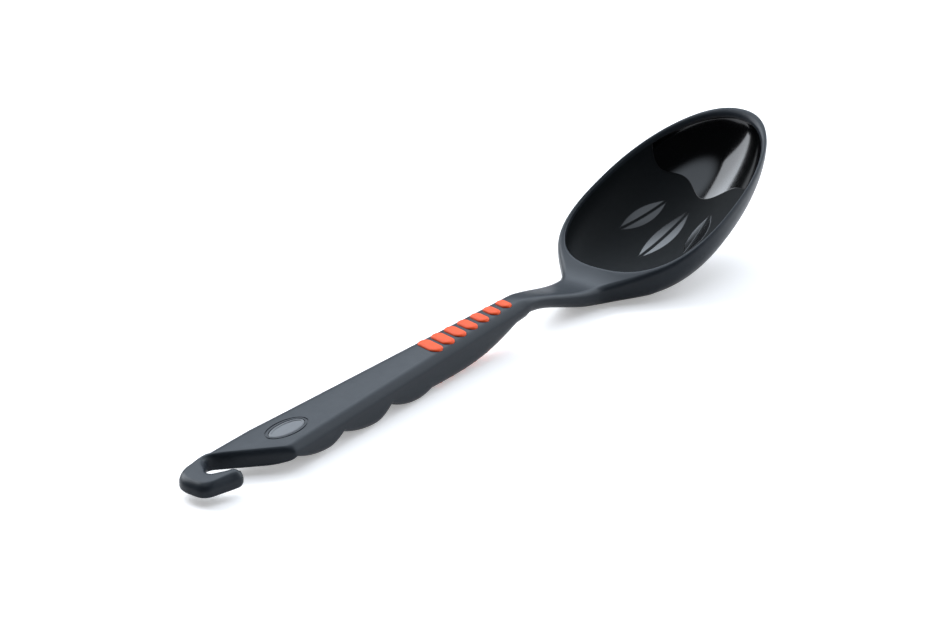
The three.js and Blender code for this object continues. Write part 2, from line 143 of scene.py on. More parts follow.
# Facets
CUT_PAST = 4
EDGE_SHARE = 0.9
SLOPE_STEP = 0.5
WELD = 1e-4
UNDER_STEPS = 56
EDGE_STEPS = 8
HOLLOW_STEPS = 56
BOWL_STATIONS = 140
OVAL_STEPS = 96
PLUG_ARC_STEPS = 20
PLUG_SIDE_STEPS = 12
PLUG_DOME_STEPS = 8
HOOK_OUTER_STEPS = {"edges": (52, 20, 12, 16, 4), "corners": (0, 24, 20, 16)}
HOOK_SLOT_STEPS = {"edges": (4, 32, 28, 16, 4), "corners": (16, 20, 28, 16)}
BAR_STEPS = (36, 36, 36, 48, 8, 8, 28, 30)
SHARP_ANGLE = math.radians(38)

# Camera at the photograph's angle
VIEW_AZIMUTH = math.radians(-53.6)
VIEW_ELEVATION = math.radians(21.5)
VIEW_TARGET = Vector((-8, 1.4, 11.25))
VIEW_DISTANCE = 815.9
IMAGE_WIDTH = 950
FOCAL_PIXELS = 2970
SENSOR_WIDTH = 36
CLIP_NEAR = 0.01
CLIP_FAR = 50


def lerp(a, b, t):
    return a + (b - a) * t


def clamp(t):
    return min(1, max(0, t))


def smoothstep(x, low, high):
    t = clamp((x - low) / (high - low))
    return t * t * (3 - 2 * t)


def cubic(x, start, end):
    """Cubic through two points with a slope at each."""
    x0, y0, m0 = start
    x1, y1, m1 = end
    span = x1 - x0
    t = (x - x0) / span
    a = 1 + t * t * (2 * t - 3)
    return a * y0 + (1 - a) * y1 + span * t * (1 - t) * ((1 - t) * m0 - t * m1)


def slope_at(height, x):
    return (height(x + SLOPE_STEP) - height(x - SLOPE_STEP)) / (2 * SLOPE_STEP)


def quarter(t, fullness=2):
    """Quarter oval that leaves level at the start and ends upright."""
    return 1 - max(0, 1 - t**fullness) ** (1 / fullness)


HANDLE_SLOPE = (TOP_AT_NECK - TOP_AT_HOOK) / (NECK_START_X - HOOK_END_X)


def top_z(x):
    """Height of the top face, and of the rim, along the spoon."""
    if x < NECK_START_X:
        return TOP_AT_NECK + (x - NECK_START_X) * HANDLE_SLOPE
    dip = (NECK_DIP_X, NECK_DIP_Z, 0)
    if x < NECK_DIP_X:
        return cubic(x, (NECK_START_X, TOP_AT_NECK, HANDLE_SLOPE), dip)
    if x < RIM_START_X:
        return cubic(x, dip, (RIM_START_X, RIM_START_Z, RIM_SLOPE))
    return RIM_START_Z + (x - RIM_START_X) * RIM_SLOPE


def edge_rounding(x, span):
    """Run and drop of the top edge's rounding, shrunk as a whole where the span inwards is short."""
    on_handle = clamp((x - HOOK_END_X) / (HANDLE_EDGE_FULL_X - HOOK_END_X))
    on_neck = smoothstep(x, NECK_START_X, NECK_WAIST_X)
    on_rim = smoothstep(x, NECK_FLARE_X, RIM_EDGE_FULL_X)

    def blend(hook, handle, neck, rim):
        return lerp(lerp(lerp(hook, handle, on_handle), neck, on_neck), rim, on_rim)

    run = blend(HOOK_EDGE_RUN, HANDLE_EDGE_RUN, NECK_EDGE_RUN, RIM_EDGE_RUN)
    drop = blend(HOOK_EDGE_DROP, HANDLE_EDGE_DROP, NECK_EDGE_DROP, RIM_EDGE_DROP)
    fit = min(1, EDGE_SHARE * span / run)
    return fit * run, fit * drop


def squareness(x):
    """How boxy the underside is: 2 is an ellipse, more is squarer."""
    if x < NECK_ARCH_X:
        return lerp(HANDLE_SQUARENESS, NECK_SQUARENESS, smoothstep(x, CUSP_X[-1], NECK_ARCH_X))
    if x < SHOULDER_X:
        return lerp(NECK_SQUARENESS, SHOULDER_SQUARENESS, smoothstep(x, NECK_ARCH_X, SHOULDER_X))
    t = (x - SHOULDER_X) / (BOWL_TIP_X - SHOULDER_X)
    return lerp(SHOULDER_SQUARENESS, TIP_SQUARENESS, t**TIP_SQUARENESS_BLEND)


def scallop_z(x, number):
    """Underside of one finger scallop, two parabolas that meet at its low."""
    start, end = CUSP_X[number], CUSP_X[number + 1]
    low = SCALLOP_LOW_Z[number]
    u = (x - start) / (end - start)
    if u < SCALLOP_LOW_AT:
        return lerp(low, CUSP_Z[number], (1 - u / SCALLOP_LOW_AT) ** 2)
    return lerp(low, CUSP_Z[number + 1], ((u - SCALLOP_LOW_AT) / (1 - SCALLOP_LOW_AT)) ** 2)


def keel_z(x):
    """Lowest line of the body along the spoon."""
    if x < HEEL_END_X:
        return HEEL_Z
    if x < CUSP_X[0]:
        return lerp(HEEL_Z, CUSP_Z[0], ((x - HEEL_END_X) / (CUSP_X[0] - HEEL_END_X)) ** 2)
    for number in range(len(CUSP_X) - 1):
        if x < CUSP_X[number + 1]:
            return scallop_z(x, number)
    if x < PALM_END_X:
        return cubic(x, (CUSP_X[-1], CUSP_Z[-1], 0), (PALM_END_X, PALM_END_Z, PALM_END_SLOPE))
    if x < PALM_LIP_X:
        return cubic(x, (PALM_END_X, PALM_END_Z, 0), (PALM_LIP_X, PALM_LIP_Z, 0))
    if x < NECK_ARCH_X:
        return cubic(x, (PALM_LIP_X, PALM_LIP_Z, 0), (NECK_ARCH_X, NECK_ARCH_Z, 0))
    if x < NECK_END_X:
        return cubic(x, (NECK_ARCH_X, NECK_ARCH_Z, 0), (NECK_END_X, 0, 0))
    if x < KEEL_LOW_X:
        return 0
    rise = top_z(BOWL_TIP_X) - RIM_EDGE_DROP
    return rise * quarter((x - KEEL_LOW_X) / (BOWL_TIP_X - KEEL_LOW_X), KEEL_FULLNESS)


def egg_half(x, start_x, end_x, width):
    """Half width of an egg outline, blunt towards the neck."""
    u = (2 * x - start_x - end_x) / (end_x - start_x)
    fullness = BOWL_BACK_FULLNESS if u < 0 else BOWL_FRONT_FULLNESS
    roundness = max(0, 1 - abs(u) ** fullness) ** (1 / fullness)
    return (width / 2) * roundness * (1 - BOWL_EGG * u)


def bowl_half(x):
    return egg_half(x, BOWL_TIP_X - BOWL_LENGTH, BOWL_TIP_X, BOWL_WIDTH)


def half_width(x):
    """Half width of the whole spoon in plan, ahead of the hook."""
    taper = (WIDTH_AT_NECK_START - WIDTH_AT_HOOK) / 2 / (NECK_START_X - HOOK_END_X)
    waist = (NECK_WAIST_X, NECK_WAIST_WIDTH / 2, 0)
    flare = (NECK_FLARE_X, NECK_FLARE_WIDTH / 2, NECK_FLARE_SLOPE)
    if x < NECK_START_X:
        return WIDTH_AT_HOOK / 2 + (x - HOOK_END_X) * taper
    if x < NECK_WAIST_X:
        return cubic(x, (NECK_START_X, WIDTH_AT_NECK_START / 2, taper), waist)
    if x < NECK_FLARE_X:
        return cubic(x, waist, flare)
    if x > SHOULDER_X:
        return bowl_half(x)
    return cubic(x, flare, (SHOULDER_X, bowl_half(SHOULDER_X), slope_at(bowl_half, SHOULDER_X)))


def crown_z(x, y):
    """Height of the handle's top at any place across it."""
    half = half_width(x)
    run, drop = edge_rounding(x, half)
    return top_z(x) - drop * quarter(clamp((abs(y) - half + run) / run))


def hollow_z(x, start_x, end_x):
    """Floor of the hollow along the middle."""
    z = BOWL_FLOOR
    behind = (HOLLOW_FOOT_X - x) / (HOLLOW_FOOT_X - start_x)
    if behind > 0:
        z += (top_z(start_x) - LIP_DEPTH - BOWL_FLOOR) * quarter(behind)
    ahead = (x - KEEL_LOW_X) / (end_x - KEEL_LOW_X)
    if ahead > 0:
        z += (top_z(end_x) - LIP_DEPTH - BOWL_FLOOR) * quarter(ahead, KEEL_FULLNESS)
    return z


def signed_power(value, power):
    return math.copysign(abs(value) ** power, value)


def shoulder_line(edge, lip, rounding, sink):
    """Top of one side: the rounded edge, then flat to the lip or the middle."""
    points = []
    run, drop = rounding
    span = (lip - edge).length
    for j in range(EDGE_STEPS + 1):
        angle = math.pi / 2 * j / EDGE_STEPS
        inset = run * (1 - math.cos(angle)) / span if span > 0 else 0
        p = edge.lerp(lip, inset)
        points.append(Vector((p.x, p.y, top_z(p.x) - sink - drop * (1 - math.sin(angle)))))
    points.append(Vector((lip.x, lip.y, top_z(lip.x) - sink)))
    return points


def section(left, right, lip_left, lip_right, sink):
    """One cross-section: the underside from left to right, then the top from each edge inwards."""
    middle = (left + right) / 2
    rounding = edge_rounding(middle.x, (left - lip_left).length)
    power = 2 / squareness(middle.x)
    under = []
    for j in range(UNDER_STEPS + 1):
        angle = math.pi * j / UNDER_STEPS
        p = middle.lerp(left, signed_power(math.cos(angle), power))
        depth = math.sin(angle) ** power if 0 < j < UNDER_STEPS else 0
        edge = top_z(p.x) - sink - rounding[1]
        under.append(Vector((p.x, p.y, lerp(edge, keel_z(p.x) + sink, depth))))
    top_right = shoulder_line(right, lip_right, rounding, sink)
    top_left = shoulder_line(left, lip_left, rounding, sink)[::-1]
    return under, top_right, top_left


def hollow_line(lip, inner, floor):
    """One line across the hollow, from the right lip down and up to the left lip."""
    rounding = []
    for j in range(EDGE_STEPS):
        angle = math.pi / 2 * j / EDGE_STEPS
        p = lip.lerp(inner, math.sin(angle))
        rounding.append(Vector((p.x, p.y, top_z(p.x) - LIP_DEPTH * (1 - math.cos(angle)))))
    points = [Vector((p.x, -p.y, p.z)) for p in rounding]
    power = 2 / squareness(inner.x)
    for j in range(HOLLOW_STEPS + 1):
        angle = math.pi * j / HOLLOW_STEPS
        across = -signed_power(math.cos(angle), power) * inner.y
        depth = math.sin(angle) ** power if 0 < j < HOLLOW_STEPS else 0
        points.append(Vector((inner.x, across, lerp(top_z(inner.x) - LIP_DEPTH, floor, depth))))
    return points + rounding[::-1]


def line_points(start, end, steps):
    return [start.lerp(end, j / steps) for j in range(steps + 1)]


def arc_points(start, corner, end, steps):
    return [
        start.lerp(corner, t).lerp(corner.lerp(end, t), t)
        for t in (j / steps for j in range(steps + 1))
    ]


def rounded_path(start, corners, end, steps):
    """Points along a run of straight edges with rounded corners."""
    points = []
    place = Vector(start)
    targets = [Vector(c[:2]) for c in corners[1:]] + [Vector(end)]
    for i, (x, y, radius) in enumerate(corners):
        corner = Vector((x, y))
        entering = (corner - place).normalized()
        leaving = (targets[i] - corner).normalized()
        reach = radius * math.tan(math.acos(max(-1, min(1, entering.dot(leaving)))) / 2)
        arc_start = corner - entering * reach
        arc_end = corner + leaving * reach
        points += line_points(place, arc_start, steps["edges"][i])[:-1]
        if radius > 0:
            points += arc_points(arc_start, corner, arc_end, steps["corners"][i])[:-1]
        place = arc_end
    return points + line_points(place, Vector(end), steps["edges"][-1])


def hook_stations():
    """Left and right edge points of the hook, from its tip round to the handle."""
    join_x = CUSP_X[0]
    half = half_width(join_x)
    tip = (Vector(HOOK_OUTER["tip"][:2]) + Vector(HOOK_TIP_INNER[:2])) / 2
    above_slot = (HOOK_SLOT["inner"][0], lerp(half, HOOK_OUTER["end"][1], HOOK_BAR_AT), 0)
    outer_corners = (above_slot, HOOK_OUTER["end"], HOOK_OUTER["heel"], HOOK_OUTER["tip"])
    outer = rounded_path((join_x, half), outer_corners, tip, HOOK_OUTER_STEPS)
    slot_corners = (HOOK_SLOT["corner"], HOOK_SLOT["inner"], HOOK_SLOT["outer"], HOOK_TIP_INNER)
    slot = rounded_path((join_x, -half), slot_corners, tip, HOOK_SLOT_STEPS)
    stations = []
    for left, right in zip(outer, slot):
        near = max(0, 1 - ((left + right) / 2 - tip).length / HOOK_TIP_ROUND)
        stations.append((left, right, HOOK_TIP_ROUND * quarter(near)))
    return stations[::-1]


def bar_places():
    """Places along the handle and neck: every profile change, evenly filled between."""
    marks = CUSP_X + (PALM_END_X, PALM_LIP_X, NECK_ARCH_X, NECK_FLARE_X, HOLLOW_START_X)
    places = []
    for start, end, steps in zip(marks, marks[1:], BAR_STEPS):
        places += [lerp(start, end, (k + 1) / steps) for k in range(steps)]
    return places


def body_patches():
    """Grids of points for the underside, the two halves of the top and the hollow."""
    sections = []
    hollow = []
    for left, right, sink in hook_stations():
        middle = (left + right) / 2
        sections.append(section(left, right, middle, middle, sink))
    for x in bar_places():
        half = half_width(x)
        middle = Vector((x, 0))
        sections.append(section(Vector((x, half)), Vector((x, -half)), middle, middle, 0))
    lip_end = BOWL_TIP_X - RIM_LAND_AT_TIP
    lip_width = BOWL_WIDTH - 2 * RIM_LAND
    inner_start = HOLLOW_START_X + LIP_WIDTH_AT_ENDS
    inner_end = lip_end - LIP_WIDTH_AT_ENDS
    inner_width = lip_width - 2 * LIP_WIDTH
    for i in range(BOWL_STATIONS + 1):
        t = (1 - math.cos(math.pi * i / BOWL_STATIONS)) / 2
        inside = 0 < i < BOWL_STATIONS
        outer_x = lerp(HOLLOW_START_X, BOWL_TIP_X, t)
        lip_x = lerp(HOLLOW_START_X, lip_end, t)
        inner_x = lerp(inner_start, inner_end, t)
        outer_y = half_width(outer_x) if i < BOWL_STATIONS else 0
        lip_y = egg_half(lip_x, HOLLOW_START_X, lip_end, lip_width) if inside else 0
        inner_y = egg_half(inner_x, inner_start, inner_end, inner_width) if inside else 0
        lip = Vector((lip_x, lip_y))
        if i > 0:
            lip_right = Vector((lip_x, -lip_y))
            sections.append(
                section(Vector((outer_x, outer_y)), Vector((outer_x, -outer_y)), lip, lip_right, 0)
            )
        hollow.append(hollow_line(lip, Vector((inner_x, inner_y)), hollow_z(inner_x, inner_start, inner_end)))
    under, top_right, top_left = zip(*sections)
    return [(under, 0), (top_right, 0), (top_left, 0), (hollow, 1)]


def mesh_from_patches(name, patches):
    """Closed mesh from grids of points that share their border lines, each with a material number."""
    found = {}
    vertices = []
    faces = []
    numbers = []

    def index_of(p):
        key = tuple(round(value / WELD) for value in p)
        if key not in found:
            found[key] = len(vertices)
            vertices.append(p * MM)
        return found[key]

    for patch, number in patches:
        grid = [[index_of(p) for p in line] for line in patch]
        for near, far in zip(grid, grid[1:]):
            for j in range(len(near) - 1):
                ring = (near[j], far[j], far[j + 1], near[j + 1])
                face = list(dict.fromkeys(ring))
                if len(face) > 2:
                    faces.append(face)
                    numbers.append(number)
    mesh = bpy.data.meshes.new(name)
    mesh.from_pydata(vertices, [], faces)
    mesh.polygons.foreach_set("material_index", numbers)
    mesh.validate()
    mesh.update()
    return mesh


def add_object(name, mesh):
    made = bpy.data.objects.new(name, mesh)
    bpy.context.scene.collection.objects.link(made)
    return made


def level_patch(levels):
    """Wall through a stack of equal outlines, closed at both ends by a level with no area."""
    return [(row + row[:1])[::-1] for row in levels]


def closing(row):
    """Level drawn together to its middle."""
    return [sum(row, Vector((0, 0, 0))) / len(row)] * len(row)


def stadium(length, width, grow):
    """Stadium outline grown on all sides, its long axis turned by the slant from Y."""
    radius = width / 2 + grow
    straight = (length - width) / 2
    points = []
    for end in (1, -1):
        for j in range(PLUG_ARC_STEPS + 1):
            angle = math.pi * j / PLUG_ARC_STEPS
            across = radius * math.cos(angle)
            points.append(Vector((end * across, end * (straight + radius * math.sin(angle)))))
        for j in range(1, PLUG_SIDE_STEPS):
            points.append(Vector((-end * radius, end * straight * (1 - 2 * j / PLUG_SIDE_STEPS))))
    slant = math.radians(PLUG_SLANT)
    along, aside = math.cos(slant), math.sin(slant)
    return [Vector((p.x * along + p.y * aside, p.y * along - p.x * aside)) for p in points]


def oval(grow):
    """Outline of the badge, grown on all sides."""
    points = []
    for j in range(OVAL_STEPS):
        angle = 2 * math.pi * j / OVAL_STEPS
        across = (BADGE_WIDTH / 2 + grow) * math.sin(angle)
        points.append(Vector(((BADGE_LENGTH / 2 + grow) * math.cos(angle), across)))
    return points


def level(outline, x, z, slope):
    """Outline set at a height on a plane that climbs along X."""
    return [Vector((x + p.x, p.y, z + slope * p.x)) for p in outline]


def plug_levels(number, room):
    """Levels of one grip plug, or with room those of the opening that takes it."""
    t = number / (PLUG_COUNT - 1)
    x = PLUG_FIRST_X + number * PLUG_PITCH
    length = lerp(PLUG_FIRST_LENGTH, PLUG_LAST_LENGTH, t)
    width = lerp(PLUG_FIRST_WIDTH, PLUG_LAST_WIDTH, t)
    foot_length = lerp(PLUG_FIRST_FOOT_LENGTH, PLUG_LAST_FOOT_LENGTH, t)
    keel_slope = slope_at(keel_z, x)

    def upper(grow, z):
        return level(stadium(length, width, grow + room), x, top_z(x) + z, HANDLE_SLOPE)

    def lower(size, grow, z):
        return level(stadium(size, width, grow + room), x, keel_z(x) + z, keel_slope)

    def crowned(grow, z):
        outline = stadium(length, width, grow)
        return [Vector((x + p.x, p.y, crown_z(x + p.x, p.y) + z)) for p in outline]

    if room:
        below = [lower(foot_length, 0, -CUT_PAST)]
        above = [upper(0, CUT_PAST)]
        above.append(closing(above[0]))
    else:
        below = [lower(foot_length, -PLUG_FOOT_CHAMFER, -PLUG_FOOT_PROUD), lower(foot_length, 0, 0)]
        angles = [math.pi / 2 * j / PLUG_DOME_STEPS for j in range(PLUG_DOME_STEPS + 1)]
        above = [
            crowned(-PLUG_ROUND * (1 - math.cos(angle)), lerp(PLUG_SIDE, PLUG_PROUD, math.sin(angle)))
            for angle in angles
        ]
        above.append(crowned(-width / 2, PLUG_PROUD))
    return [
        closing(below[0]),
        *below,
        lower(foot_length, 0, PLUG_FOOT_DEPTH + room),
        lower(length, -PLUG_LEDGE, PLUG_FOOT_DEPTH + room),
        upper(-PLUG_LEDGE, -PLUG_HEAD_DEPTH - room),
        upper(0, -PLUG_HEAD_DEPTH - room),
        *above,
    ]


def badge_level(grow, z):
    return level(oval(grow), BADGE_X, top_z(BADGE_X) + z, HANDLE_SLOPE)


def badge_levels():
    """Levels of the badge: a rounded edge, a raised border and a shallow field inside it."""
    base = badge_level(0, -BADGE_THICKNESS)
    field = badge_level(-BADGE_BORDER - BADGE_FIELD_DEPTH, -BADGE_FIELD_DEPTH)
    return [
        closing(base),
        base,
        badge_level(0, -BADGE_ROUND),
        badge_level(-BADGE_ROUND_MIDDLE, -BADGE_ROUND_MIDDLE),
        badge_level(-BADGE_ROUND, 0),
        badge_level(-BADGE_BORDER, 0),
        field,
        closing(field),
    ]


def ring_patch():
    """Ring groove around the badge, as a closed band to cut away."""
    inner = BADGE_RING_GAP
    outer = BADGE_RING_GAP + BADGE_RING_WIDTH
    corners = ((inner, -BADGE_RING_DEPTH), (inner, CUT_PAST), (outer, CUT_PAST), (outer, -BADGE_RING_DEPTH))
    rows = [badge_level(grow, z) for grow, z in corners]
    return [row + row[:1] for row in rows + rows[:1]]


def smooth(mesh):
    mesh.polygons.foreach_set("use_smooth", [True] * len(mesh.polygons))
    mesh.set_sharp_from_angle(angle=SHARP_ANGLE)


def cut_away(target, cutter):
    """Cuts one mesh object out of another for good."""
    modifier = target.modifiers.new("cut", "BOOLEAN")
    modifier.operation = "DIFFERENCE"
    modifier.solver = "EXACT"
    modifier.object = cutter
    graph = bpy.context.evaluated_depsgraph_get()
    cut_mesh = bpy.data.meshes.new_from_object(target.evaluated_get(graph))
    target.modifiers.clear()
    target.data = cut_mesh
    bpy.data.objects.remove(cutter)


def add_body():
    """Moulded body with openings for the plugs, a seat for the badge and its ring groove."""
    body = add_object("spoon_body_skin", mesh_from_patches("spoon_body_skin", body_patches()))
    openings = [(level_patch(plug_levels(i, PLUG_GAP)), 0) for i in range(PLUG_COUNT)]
    seat = [badge_level(BADGE_GAP, z) for z in (-BADGE_THICKNESS - BADGE_GAP, CUT_PAST)]
    seat = [closing(seat[0]), *seat, closing(seat[1])]
    openings += [(level_patch(seat), 0), (ring_patch(), 0)]
    cutter = add_object("openings", mesh_from_patches("openings", openings))
    for material in (nylon_material(), bowl_material()):
        body.data.materials.append(material)
    cut_away(body, cutter)
    smooth(body.data)
    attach(body, "root")
    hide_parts("spoon_body")


def add_plugs():
    material = rubber_material()
    for i in range(PLUG_COUNT):
        name = f"grip_plug_{i + 1}"
        plug = add_object(name, mesh_from_patches(name, [(level_patch(plug_levels(i, 0)), 0)]))
        plug.data.materials.append(material)
        smooth(plug.data)
        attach(plug, "root")
        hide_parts(f"grip_pad_{i + 1}")


def add_badge():
    badge = add_object("badge_plate", mesh_from_patches("badge_plate", [(level_patch(badge_levels()), 0)]))
    badge.data.materials.append(badge_material())
    smooth(badge.data)
    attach(badge, "root")
    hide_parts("badge")


# Colour sockets of a Mix node, which share their names with its other sockets
MIX_A = 6
MIX_B = 7
MIX_RESULT = 2


class Nodes:
    """Short ways to build the node tree of one material, or of the world."""

    def __init__(self, name, owners=bpy.data.materials, shader="Principled BSDF"):
        self.owner = owners.new(name)
        self.owner.use_nodes = True
        self.tree = self.owner.node_tree
        self.shader = self.tree.nodes[shader]

    def add(self, kind, inputs=None, **settings):
        node = self.tree.nodes.new(kind)
        for key, value in settings.items():
            setattr(node, key, value)
        for key, value in (inputs or {}).items():
            if isinstance(value, bpy.types.NodeSocket):
                self.tree.links.new(value, node.inputs[key])
            else:
                node.inputs[key].default_value = value
        return node

    def math(self, operation, *values):
        return self.add("ShaderNodeMath", dict(enumerate(values)), operation=operation).outputs[0]

    def dot(self, a, b):
        inputs = {0: a, 1: b}
        return self.add("ShaderNodeVectorMath", inputs, operation="DOT_PRODUCT").outputs["Value"]

    def step(self, value, low, high):
        """0 below the low value and 1 above the high one, smooth between."""
        inputs = {"Value": value, "From Min": low, "From Max": high}
        return self.add("ShaderNodeMapRange", inputs, interpolation_type="SMOOTHSTEP").outputs["Result"]

    def place(self):
        return self.add("ShaderNodeTexCoord").outputs["Object"]

    def noise(self, per_metre, detail):
        inputs = {"Vector": self.place(), "Scale": per_metre, "Detail": detail}
        return self.add("ShaderNodeTexNoise", inputs).outputs["Fac"]

    def spread(self, factor, low, high):
        """Factor of 0 to 1 turned into a range of values."""
        inputs = {"Value": factor, "To Min": low, "To Max": high}
        return self.add("ShaderNodeMapRange", inputs).outputs["Result"]

    def mix_colour(self, factor, a, b):
        node = self.add("ShaderNodeMix", data_type="RGBA")
        self.tree.links.new(factor, node.inputs["Factor"])
        for key, value in ((MIX_A, a), (MIX_B, b)):
            if isinstance(value, bpy.types.NodeSocket):
                self.tree.links.new(value, node.inputs[key])
            else:
                node.inputs[key].default_value = (*value, 1)
        return node.outputs[MIX_RESULT]

    def bump(self, height, strength, depth_mm):
        inputs = {"Height": height, "Strength": strength, "Distance": depth_mm * MM}
        return self.add("ShaderNodeBump", inputs).outputs["Normal"]

    def set(self, **inputs):
        for key, value in inputs.items():
            socket = self.shader.inputs[key.replace("_", " ").title().replace("Ior", "IOR")]
            if isinstance(value, bpy.types.NodeSocket):
                self.tree.links.new(value, socket)
            else:
                socket.default_value = value


# Materials: ranges of colour and roughness, noises in waves per metre with their octaves of detail,
# and bumps as a strength and a depth in millimetres
NYLON_DARK = (0.0166, 0.0200, 0.0246)
NYLON_LIGHT = (0.0213, 0.0255, 0.0306)
NYLON_ROUGHNESS = (0.28, 0.38)
NYLON_SPECULAR = 0.12
NYLON_CLOUDS = (140, 3)
NYLON_MOTTLE = (400, 3)
NYLON_GRAIN = (5200, 2)
NYLON_BUMP = (0.25, 0.03)


def nylon_colour(nodes):
    return nodes.mix_colour(nodes.noise(*NYLON_CLOUDS), NYLON_DARK, NYLON_LIGHT)


def nylon_roughness(nodes):
    return nodes.spread(nodes.noise(*NYLON_MOTTLE), *NYLON_ROUGHNESS)


def nylon_material():
    """Satin moulded nylon: a little cloudy in tone, with a fine spark-eroded grain."""
    nodes = Nodes("body_nylon")
    nodes.set(
        base_color=nylon_colour(nodes),
        roughness=nylon_roughness(nodes),
        specular_ior_level=NYLON_SPECULAR,
        normal=nodes.bump(nodes.noise(*NYLON_GRAIN), *NYLON_BUMP),
    )
    return nodes.owner


# Bowl finish, below the satin rim: fine matte, with a polished tip beyond a waving border and polished leaves
FINISH_DEPTH = (1.1, 2.0)
BORDER_X = 108
WAVE_HEIGHT = 1.8
WAVE_LENGTH = 17
BORDER_SOFT = 0.2
LEAVES = (
    {"place": (91, -8), "reach": (10, 2.6), "turn": math.radians(9)},
    {"place": (88, 2), "reach": (13, 3.3), "turn": math.radians(-3)},
    {"place": (92, 12), "reach": (9.5, 2.6), "turn": math.radians(-16)},
)
LEAF_RIB = 0.14
LEAF_SOFT = 0.06
MATTE_DARK = (0.0065, 0.0078, 0.0086)
MATTE_LIGHT = (0.0080, 0.0094, 0.0102)
MATTE_ROUGHNESS = (0.52, 0.62)
MATTE_SPECULAR = 0.07
MATTE_MOTTLE = (500, 3)
POLISH_COLOUR = (0.0012, 0.0013, 0.0015)
POLISH_ROUGHNESS = 0.13
POLISH_SPECULAR = 0.5
POLISH_BUMP = (1, 0.08)


def finish_mask(nodes, place):
    """1 in the bowl below the rim, worked out from the depth under the rim's plane."""
    rim = nodes.math("MULTIPLY_ADD", place["X"], RIM_SLOPE, (RIM_START_Z - RIM_START_X * RIM_SLOPE) * MM)
    depth = nodes.math("SUBTRACT", rim, place["Z"])
    return nodes.step(depth, FINISH_DEPTH[0] * MM, FINISH_DEPTH[1] * MM)


def border_mask(nodes, place):
    """1 beyond the waving border of the polished tip."""
    angle = nodes.math("MULTIPLY", place["Y"], 2 * math.pi / (WAVE_LENGTH * MM))
    wave = nodes.math("MULTIPLY", nodes.math("COSINE", angle), WAVE_HEIGHT * MM)
    along = nodes.math("ADD", place["X"], wave)
    return nodes.step(along, (BORDER_X - BORDER_SOFT) * MM, (BORDER_X + BORDER_SOFT) * MM)


def leaf_mask(nodes, leaf):
    """1 inside a pointed leaf in plan, but not on its middle rib."""
    inputs = {
        "Vector": nodes.place(),
        "Location": (*(value * MM for value in leaf["place"]), 0),
        "Rotation": (0, 0, leaf["turn"]),
        "Scale": (*(value * MM for value in leaf["reach"]), 1),
    }
    own = nodes.add("ShaderNodeMapping", inputs, vector_type="TEXTURE").outputs["Vector"]
    split = nodes.add("ShaderNodeSeparateXYZ", {"Vector": own}).outputs
    aside = nodes.math("ABSOLUTE", split["Y"])
    edge = nodes.math("SUBTRACT", 1, nodes.math("MULTIPLY_ADD", split["X"], split["X"], aside))
    inside = nodes.math("MINIMUM", edge, nodes.math("SUBTRACT", aside, LEAF_RIB))
    return nodes.step(inside, -LEAF_SOFT, LEAF_SOFT)


def bowl_material():
    """Bowl inside: satin at the rim, then fine matte, and polished at the tip and on the leaves."""
    nodes = Nodes("bowl_finish")
    place = nodes.add("ShaderNodeSeparateXYZ", {"Vector": nodes.place()}).outputs
    finish = finish_mask(nodes, place)
    polish = border_mask(nodes, place)
    for leaf in LEAVES:
        polish = nodes.math("MAXIMUM", polish, leaf_mask(nodes, leaf))
    polish = nodes.math("MULTIPLY", polish, finish)
    matte = nodes.mix_colour(nodes.noise(*NYLON_CLOUDS), MATTE_DARK, MATTE_LIGHT)
    matte = nodes.mix_colour(finish, nylon_colour(nodes), matte)
    matte_rough = nodes.spread(nodes.noise(*MATTE_MOTTLE), *MATTE_ROUGHNESS)
    rough = nodes.spread(finish, nylon_roughness(nodes), matte_rough)
    specular = nodes.spread(finish, NYLON_SPECULAR, MATTE_SPECULAR)
    nodes.set(
        base_color=nodes.mix_colour(polish, matte, POLISH_COLOUR),
        roughness=nodes.spread(polish, rough, POLISH_ROUGHNESS),
        specular_ior_level=nodes.spread(polish, specular, POLISH_SPECULAR),
        normal=nodes.bump(polish, *POLISH_BUMP),
    )
    return nodes.owner


RUBBER_DARK = (0.75, 0.077, 0.012)
RUBBER_LIGHT = (0.81, 0.093, 0.018)
RUBBER_ROUGHNESS = (0.50, 0.62)
RUBBER_SPECULAR = 0.2
RUBBER_CLOUDS = (500, 3)
RUBBER_MOTTLE = (900, 3)
RUBBER_GRAIN = (3200, 2)
RUBBER_BUMP = (0.2, 0.03)
RUBBER_SUBSURFACE = 0.15
RUBBER_SUBSURFACE_DEPTH = 0.6


def rubber_material():
    """Soft orange grip rubber, slightly mottled and powdery."""
    nodes = Nodes("grip_rubber")
    nodes.set(
        base_color=nodes.mix_colour(nodes.noise(*RUBBER_CLOUDS), RUBBER_DARK, RUBBER_LIGHT),
        roughness=nodes.spread(nodes.noise(*RUBBER_MOTTLE), *RUBBER_ROUGHNESS),
        specular_ior_level=RUBBER_SPECULAR,
        normal=nodes.bump(nodes.noise(*RUBBER_GRAIN), *RUBBER_BUMP),
        subsurface_weight=RUBBER_SUBSURFACE,
        subsurface_scale=RUBBER_SUBSURFACE_DEPTH * MM,
    )
    return nodes.owner


BADGE_DARK = (0.105, 0.109, 0.115)
BADGE_LIGHT = (0.135, 0.140, 0.147)
BADGE_ROUGHNESS = (0.30, 0.42)
BADGE_SPECULAR = 0.2
BADGE_BRUSHING = (200, 4000, 200)
BADGE_BRUSHING_DETAIL = 3


